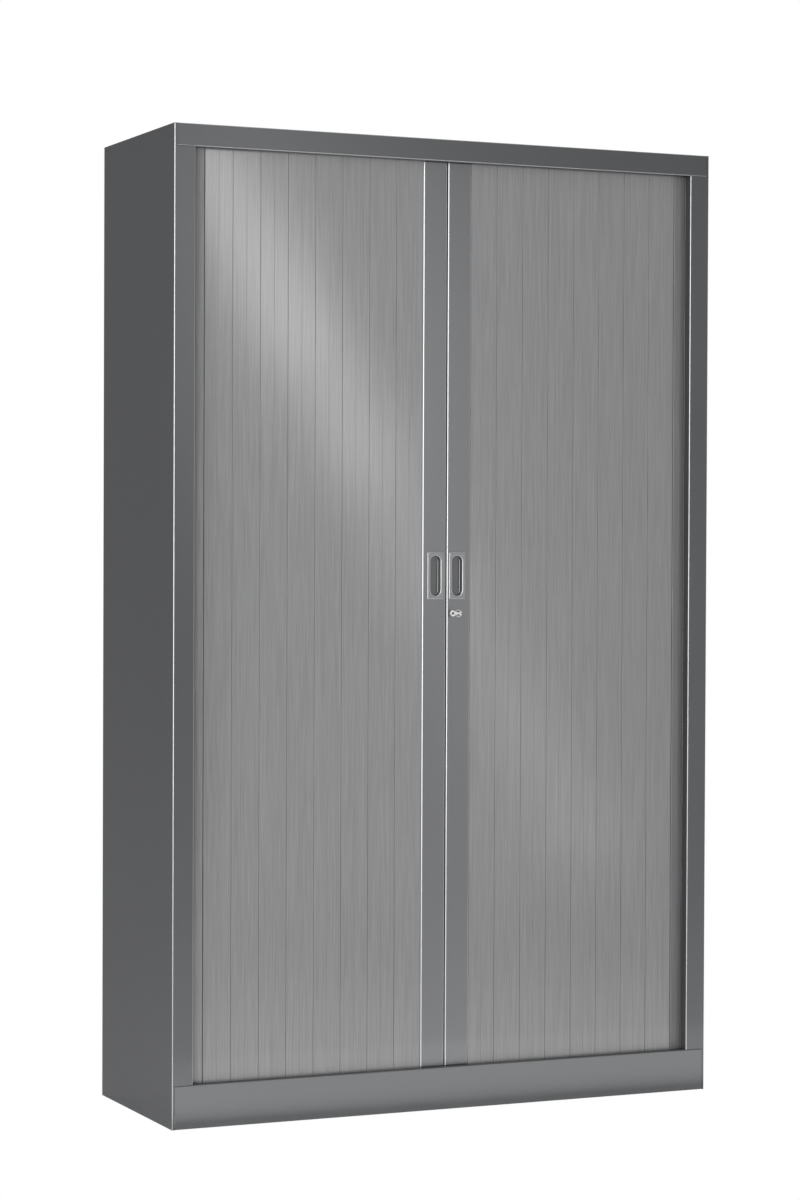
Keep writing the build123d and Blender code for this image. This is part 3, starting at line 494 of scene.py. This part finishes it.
def corner_places(side):
    """Middles and turns of the slats round a front corner. The joints lie on a circle of the hinge
    radius, each a pitch further, and the last slat runs straight back along the side."""
    step = 2 * asin(slat_pitch / 2 / HINGE_RADIUS)
    centre_y = path_y + CORNER_RADIUS
    turn = np.arange(CORNER_SLATS + 1) * step
    x = corner_x + HINGE_RADIUS * np.sin(turn)
    y = centre_y - HINGE_RADIUS * np.cos(turn)
    end_x = corner_x + HINGE_RADIUS - LAST_JOINT_INSET
    end_y = y[-1] + np.sqrt(slat_pitch**2 - (x[-1] - end_x) ** 2)
    joints = np.stack([np.append(x, end_x), np.append(y, end_y)], -1)
    direction = np.diff(joints, axis=0) / slat_pitch
    outward = np.stack([direction[:, 1], -direction[:, 0]], -1)
    middles = (joints[:-1] + joints[1:]) / 2 + outward * slat_thickness / 2
    turns = np.arctan2(direction[:, 1], direction[:, 0])
    return middles * (side, 1), turns * side


def follow_stile(piece):
    """Gives the piece a mesh of its own."""
    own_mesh(piece)


def front_slats(name, side):
    """The slats across the front: bars in a row from the stile to the corner, a pitch apart, each a
    little out of line and out of square."""
    number = np.arange(SLATS)
    x = side * (stile_far + (number + 0.5) * slat_pitch)
    # Slats are moulded in pairs, so every second joint is a little tighter.
    x = x + side * np.where(number % 2, -PAIR_SHIFT, PAIR_SHIFT)
    y = path_y + chance.uniform(-DEPTH_SCATTER, DEPTH_SCATTER, SLATS)
    tilts = radians(1) * chance.uniform(-TILT_SCATTER, TILT_SCATTER, SLATS)
    centres = np.stack([x, y], -1)
    points, faces = upright_bars(slat_profile(), centres, tilts, slat_low.z, slat_high.z)
    slats = make_piece(f"{name}_curtain_slats", points, faces, finishes["slat_film"])
    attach(slats, "root")
    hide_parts(f"{name}_slats")
    follow_stile(slats)


def front_web(name, side):
    """The soft web behind the slats: a thin straight strip carried straight up, with its back
    hollowed at every joint so that it bends there. The hollow's depth is a bell curve of the
    distance to the joint."""
    x = np.linspace(stile_far + SLAT_GAP / 2, corner_x - SLAT_GAP / 2, SLATS * WEB_STEPS + 1)
    to_joint = np.abs((x - stile_far + slat_pitch / 2) % slat_pitch - slat_pitch / 2)
    bell = np.exp(-((to_joint / BEAD_WIDTH) ** 2))
    front = np.stack([side * x, np.full_like(x, slat_high.y)], -1)
    back = np.stack([side * x, slat_high.y + WEB_THICKNESS - WEB_GROOVE * bell], -1)
    ring = np.concatenate([front, back[::-1]])
    low = np.column_stack([ring, np.full(len(ring), slat_low.z)])
    high = np.column_stack([ring, np.full(len(ring), slat_high.z)])
    faces = skin_faces(2, len(ring), turned=side < 0)
    web = make_piece(f"{name}_curtain_web", np.stack([low, high]), faces, finishes["web_plastic"], sharp=30)
    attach(web, "root")
    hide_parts(f"{name}_web")
    follow_stile(web)


def corner_curtain(name, side):
    """The slats that stand round a front corner."""
    middles, turns = corner_places(side)
    points, faces = upright_bars(slat_profile(), middles, turns, slat_low.z, slat_high.z)
    corner = make_piece(f"{name}_corner_curtain", points, faces, finishes["slat_film"])
    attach(corner, "root")
    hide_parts(f"{name}_corner_slats")


for name, side in SIDES:
    front_slats(name, side)
    front_web(name, side)
    corner_curtain(name, side)


# ---- finger cups -----------------------------------------------------------------------
PLATE_THICKNESS = 1.2 * MM
PLATE_CORNER = 1.6 * MM
PLATE_ROUND = 0.7 * MM
CORNER_SHRINK = 0.8          # of the plate's corner radius, for each step in
MOUTH_HALF_WIDTH = 11.75 * MM
MOUTH_HALF_HEIGHT = 41.25 * MM
LIP_ROUND = 0.9 * MM
CUP_WALL = 1.2 * MM
CUP_DRAFT = 0.5 * MM
DISH_ROUND = 2.6 * MM
MIDDLE_INSET = 8.0 * MM      # of the innermost ring, from the mouth's outline
CUP_CORNER_STEPS = 14
BACK_STEPS, PLATE_STEPS, LIP_STEPS, DISH_STEPS = 5, 6, 7, 8


def finger_cup(name, node, body):
    """A dished cup with a plate round its mouth: a stack of rings that starts at the middle of the
    cup's underside, goes out along the outer wall and the back of the plate, round the plate's
    edge, in over its face and the rounded mouth, and down the drafted inner wall into the dish."""
    low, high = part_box(node)
    centre = (low + high) / 2
    half_width, half_height = (high.x - low.x) / 2, (high.z - low.z) / 2
    front, back = low.y, high.y
    plate_back = front + PLATE_THICKNESS
    floor_y = back - CUP_WALL
    rings = []

    def add_ring(outline, y):
        """Puts an outline round the middle of the cup at this depth."""
        x, z = (outline + (centre.x, centre.z)).T
        rings.append(np.column_stack([x, np.full_like(x, y), z]))

    def stadium(offset, y):
        """A ring at this depth, the mouth's outline moved out by the offset."""
        width = MOUTH_HALF_WIDTH + offset
        add_ring(round_ring(width, MOUTH_HALF_HEIGHT + offset, width, CUP_CORNER_STEPS), y)

    def plate_edge(offset, y):
        """A ring at this depth on the plate's outline, moved in by the offset."""
        radius = PLATE_CORNER - offset * CORNER_SHRINK
        add_ring(round_ring(half_width - offset, half_height - offset, radius, CUP_CORNER_STEPS), y)

    stadium(-MIDDLE_INSET, back)
    for turn in np.linspace(0, pi / 2, BACK_STEPS):
        stadium(CUP_WALL * sin(turn), back - CUP_WALL * (1 - cos(turn)))
    stadium(CUP_WALL, plate_back)
    plate_edge(0.0, plate_back)
    for turn in np.linspace(0, pi / 2, PLATE_STEPS):
        plate_edge(PLATE_ROUND * (1 - cos(turn)), front + PLATE_ROUND * (1 - sin(turn)))
    for turn in np.linspace(0, pi / 2, LIP_STEPS):
        stadium(LIP_ROUND * (1 - sin(turn)), front + LIP_ROUND * (1 - cos(turn)))
    for turn in np.linspace(0, pi / 2, DISH_STEPS):
        stadium(-CUP_DRAFT - DISH_ROUND * (1 - cos(turn)), floor_y - DISH_ROUND * (1 - sin(turn)))
    stadium(-MIDDLE_INSET, floor_y)
    faces = skin_faces(len(rings), len(rings[0]))
    cup = make_piece(name, rings, faces, finishes["handle_paint"], sharp=50)
    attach(cup, body)
    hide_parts(node)


for name, side in SIDES:
    finger_cup(f"{name}_finger_cup", f"{name}_handle_cup", f"{name}_door")


# ---- lock ------------------------------------------------------------------------------
BARREL_RADIUS = 7.0 * MM
BARREL_ROUND = 0.6 * MM
BORE_RADIUS = 5.1 * MM
BORE_ROUND = 0.3 * MM
BORE_STEPS = 4
FLANGE_THICKNESS = 1.2 * MM
FLANGE_ROUND = 0.8 * MM
LOCK_STEPS = 72              # round a full circle


def turned_piece(name, outline, centre_x, centre_z, finish):
    """A turned piece about a line along Y: points (radius, y) of a closed outline, each carried
    round a full circle."""
    angle = np.linspace(0, 2 * pi, LOCK_STEPS, endpoint=False)
    radius = outline[:, 0][:, None]
    x = centre_x + radius * np.cos(angle)
    z = centre_z + radius * np.sin(angle)
    y = np.broadcast_to(outline[:, 1][:, None], x.shape)
    return make_piece(name, np.stack([x, y, z], -1), loop_faces(*x.shape), finish, sharp=35)


def arc(centre, radius, start, end, steps=6):
    """Points of an arc in (radius, y), angles in degrees."""
    turn = np.radians(np.linspace(start, end, steps))
    return np.stack([centre[0] + radius * np.cos(turn), centre[1] + radius * np.sin(turn)], -1)


def lock_barrel(name, node, body):
    """A plain barrel with a bore and a thin flange on the stile. The outline goes from the bore's
    back over the bore's lip and the barrel's rim to the flange, and down the back of the flange."""
    low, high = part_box(node)
    front, back = low.y, high.y
    flange_radius = (high.x - low.x) / 2
    flange_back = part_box("right_stile")[0].y
    flange_front = flange_back - FLANGE_THICKNESS
    lip = (BORE_RADIUS + BORE_ROUND, front + BORE_ROUND)
    rim = (BARREL_RADIUS - BARREL_ROUND, front + BARREL_ROUND)
    edge = (flange_radius - FLANGE_ROUND, flange_front + FLANGE_ROUND)
    outline = np.concatenate([
        [(BORE_RADIUS, back)],
        arc(lip, BORE_ROUND, 180, 270, BORE_STEPS),
        arc(rim, BARREL_ROUND, -90, 0),
        [(BARREL_RADIUS, flange_front)],
        arc(edge, FLANGE_ROUND, -90, 0),
        [(flange_radius, flange_back)],
        [(BARREL_RADIUS, flange_back)],
        [(BARREL_RADIUS, back)],
    ])
    centre_x, centre_z = (low.x + high.x) / 2, (low.z + high.z) / 2
    housing = turned_piece(name, outline, centre_x, centre_z, finishes["lock_chrome"])
    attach(housing, body)
    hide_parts(node)


lock_barrel("lock_barrel", "lock_housing", "right_door")


# ---- key -------------------------------------------------------------------------------
BOW_THICKNESS = 2.0 * MM
BOW_HOLE = 2.5 * MM
NECK_HALF_WIDTH = 2.5 * MM
NECK_SHORT = 5.7 * MM        # the neck ends this far before the bow's end
TONGUE_HALF_WIDTH = 1.4 * MM
TONGUE_SHORT = 0.2 * MM
BOW_STEPS = 144              # round the ring
SECTION_STEPS = 16           # round the section
SQUARENESS = 0.35            # 1 gives a round section, and less a squarer one
TINY = 1e-6


def key_bow(name, node, body):
    """A flat bow with rounded edges. Round its ring's middle the outer edge is at the larger of the
    ring's radius and the reach of the neck, min(length / cos, half width / sin), and the section
    between hole and edge is a rectangle with rounded corners."""
    low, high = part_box(node)
    middle_y, middle_z = (low.y + high.y) / 2, (low.z + high.z) / 2
    ring_radius = (high.z - low.z) / 2
    ring_x = low.x + ring_radius
    reach = high.x - ring_x
    angle = np.linspace(0, 2 * pi, BOW_STEPS, endpoint=False)
    forward = np.cos(angle) > 0
    ahead = np.maximum(np.cos(angle), TINY)
    across = np.maximum(np.abs(np.sin(angle)), TINY)
    neck = np.minimum((reach - NECK_SHORT) / ahead, NECK_HALF_WIDTH / across)
    tongue = np.minimum((reach - TONGUE_SHORT) / ahead, TONGUE_HALF_WIDTH / across)
    edge = np.maximum(ring_radius, np.where(forward, np.maximum(neck, tongue), 0))[:, None]
    t = np.linspace(0, 2 * pi, SECTION_STEPS, endpoint=False)
    u = np.sign(np.cos(t)) * np.abs(np.cos(t)) ** SQUARENESS
    v = np.sign(np.sin(t)) * np.abs(np.sin(t)) ** SQUARENESS
    radial = (edge + BOW_HOLE) / 2 + (edge - BOW_HOLE) / 2 * u
    x = ring_x + radial * np.cos(angle)[:, None]
    z = middle_z + radial * np.sin(angle)[:, None]
    y = np.broadcast_to(middle_y + BOW_THICKNESS / 2 * v, x.shape)
    faces = loop_faces(*x.shape, turned=True)
    bow = make_piece(name, np.stack([x, y, z], -1), faces, finishes["key_steel"], sharp=50)
    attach(bow, body)
    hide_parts(node)


key_bow("key_bow_plate", "key_bow", "bow")


# ---- camera ----------------------------------------------------------------------------
CAMERA_PLACE = Vector((-2.6658, -5.9123, 1.1516))
YAW, PITCH, ROLL = 0.4213, -0.0174, 0.0040
LENS = 92.4075               # millimetres
SENSOR = 36.0                # millimetres

forward = Vector((sin(YAW) * cos(PITCH), cos(YAW) * cos(PITCH), sin(PITCH)))
right = Vector((cos(YAW), -sin(YAW), 0))
up = right.cross(forward)
tilted_right = right * cos(ROLL) + up * sin(ROLL)
tilted_up = up * cos(ROLL) - right * sin(ROLL)
camera_data = bpy.data.cameras.new("camera")
camera_data.sensor_fit = "AUTO"
camera_data.sensor_width = SENSOR
camera_data.lens = LENS
camera = bpy.data.objects.new("camera", camera_data)
scene.collection.objects.link(camera)
axes = Matrix((tilted_right, tilted_up, -forward)).transposed().to_4x4()
camera.matrix_world = Matrix.Translation(CAMERA_PLACE) @ axes
scene.camera = camera
scene.view_settings.view_transform = "Standard"
scene.view_settings.look = "None"


# ---- floor and surroundings ------------------------------------------------------------
FLOOR_REACH = 30.0
FLOOR_GREY = (0.7, 0.7, 0.7)
FLOOR_ROUGHNESS = 0.9
FLOOR_GLOW = 0.1
AMBIENT = 0.2
AMBIENT_COLOUR = (0.97, 0.985, 1, 1)
WHITE = (1, 1, 1, 1)


def pale_floor():
    """A wide plain floor. The camera sees the white surroundings in its place."""
    mesh = bpy.data.meshes.new("studio_floor")
    corners = [(x * FLOOR_REACH, y * FLOOR_REACH, 0) for x, y in ((-1, -1), (1, -1), (1, 1), (-1, 1))]
    mesh.from_pydata(corners, [], [(0, 1, 2, 3)])
    floor = bpy.data.objects.new("studio_floor", mesh)
    scene.collection.objects.link(floor)
    finish, _, shader = start_finish("studio_floor", FLOOR_GREY, FLOOR_ROUGHNESS)
    shader.inputs["Emission Color"].default_value = WHITE
    shader.inputs["Emission Strength"].default_value = FLOOR_GLOW
    mesh.materials.append(finish)
    floor.visible_camera = False


def surroundings():
    """White where the camera looks past the cupboard, and a dim even light on everything."""
    world = bpy.data.worlds.new("studio")
    scene.world = world
    world.use_nodes = True
    tree = world.node_tree
    tree.nodes.clear()
    seen = tree.nodes.new("ShaderNodeBackground")
    seen.inputs["Color"].default_value = WHITE
    seen.inputs["Strength"].default_value = 1.0
    ambient = tree.nodes.new("ShaderNodeBackground")
    ambient.inputs["Color"].default_value = AMBIENT_COLOUR
    ambient.inputs["Strength"].default_value = AMBIENT
    path = tree.nodes.new("ShaderNodeLightPath")
    mix = tree.nodes.new("ShaderNodeMixShader")
    out = tree.nodes.new("ShaderNodeOutputWorld")
    tree.links.new(path.outputs["Is Camera Ray"], mix.inputs[0])
    tree.links.new(ambient.outputs[0], mix.inputs[1])
    tree.links.new(seen.outputs[0], mix.inputs[2])
    tree.links.new(mix.outputs[0], out.inputs["Surface"])


pale_floor()
surroundings()


# ---- lights ----------------------------------------------------------------------------
def soft_light(name, size, power, place, facing, upright):
    """A rectangular soft light at a place, shining along facing, with its long side as near as may
    be to the direction upright. The camera doesn't see it."""
    lamp = bpy.data.lights.new(name, "AREA")
    lamp.shape = "RECTANGLE"
    lamp.size, lamp.size_y = size
    lamp.energy = power
    light = bpy.data.objects.new(name, lamp)
    scene.collection.objects.link(light)
    back = -Vector(facing).normalized()
    high = Vector(upright)
    high = (high - back * high.dot(back)).normalized()
    axes = Matrix((high.cross(back), high, back)).transposed().to_4x4()
    light.matrix_world = Matrix.Translation(place) @ axes
    light.visible_camera = False


UPWARDS = (0, 0, 1)
BACKWARDS = (0, 1, 0)

# Softboxes stand round the cupboard: azimuth (0 in front, 90 at its left), height of the middle,
# width and height in metres, and power in watts. The one at the left front is a wide soft wall.
SOFTBOX_REACH = 4.0
SOFTBOXES = (
    (56, 2.3, 6.0, 4.4, 250.0),
    (34, 1.35, 1.6, 3.0, 52.0),
    (-25, 1.35, 1.6, 3.0, 9.0),
    (-60, 1.35, 1.6, 3.0, 21.9),
    (-130, 1.8, 3.4, 3.4, 60.0),
    (156, 1.35, 1.6, 3.0, 3.2),
)
for azimuth, middle, width, height, power in SOFTBOXES:
    turn = radians(azimuth)
    outward = Vector((-sin(turn), -cos(turn), 0)) * SOFTBOX_REACH
    place = outward + Vector((0, 0, middle))
    soft_light(f"softbox_{azimuth}", (width, height), power, place, -outward, UPWARDS)

# Other lights: name, size in metres, power in watts, place and facing. One softbox hangs above, and
# pale cards on the floor throw light up on the plinth and the lower slats.
OTHER_LIGHTS = (
    ("softbox_above", (4.0, 4.0), 30.0, (0.0, -0.8, 4.6), (0.0, 0.8, -4.6)),
    ("wide_card", (3.0, 1.4), 7.5, (0.5, -1.0, 0.01), UPWARDS),
    ("near_card", (2.6, 0.5), 2.0, (0.3, -0.5, 0.01), UPWARDS),
)
for name, size, power, place, facing in OTHER_LIGHTS:
    soft_light(name, size, power, place, facing, BACKWARDS)

# A narrow slanting strip gives the slats their diagonal sheen. It faces the camera's mirror image
# in the slats, and is made in lengths, so that it is stronger towards its top end.
STRIP_TOP = Vector((0.096, -2.195, 2.364))
STRIP_END = Vector((1.379, -2.195, 0.299))
STRIP_WIDTH = 0.18
STRIP_POWERS = (1.1, 1.15, 0.85, 0.4, 0.25, 0.25)
strip = STRIP_END - STRIP_TOP
mirrored_camera = Vector((CAMERA_PLACE.x, 2 * slat_low.y - CAMERA_PLACE.y, CAMERA_PLACE.z))
for number, power in enumerate(STRIP_POWERS):
    place = STRIP_TOP + strip * (number + 0.5) / len(STRIP_POWERS)
    size = (STRIP_WIDTH, strip.length / len(STRIP_POWERS))
    soft_light(f"strip_{number}", size, power, place, mirrored_camera - place, strip)
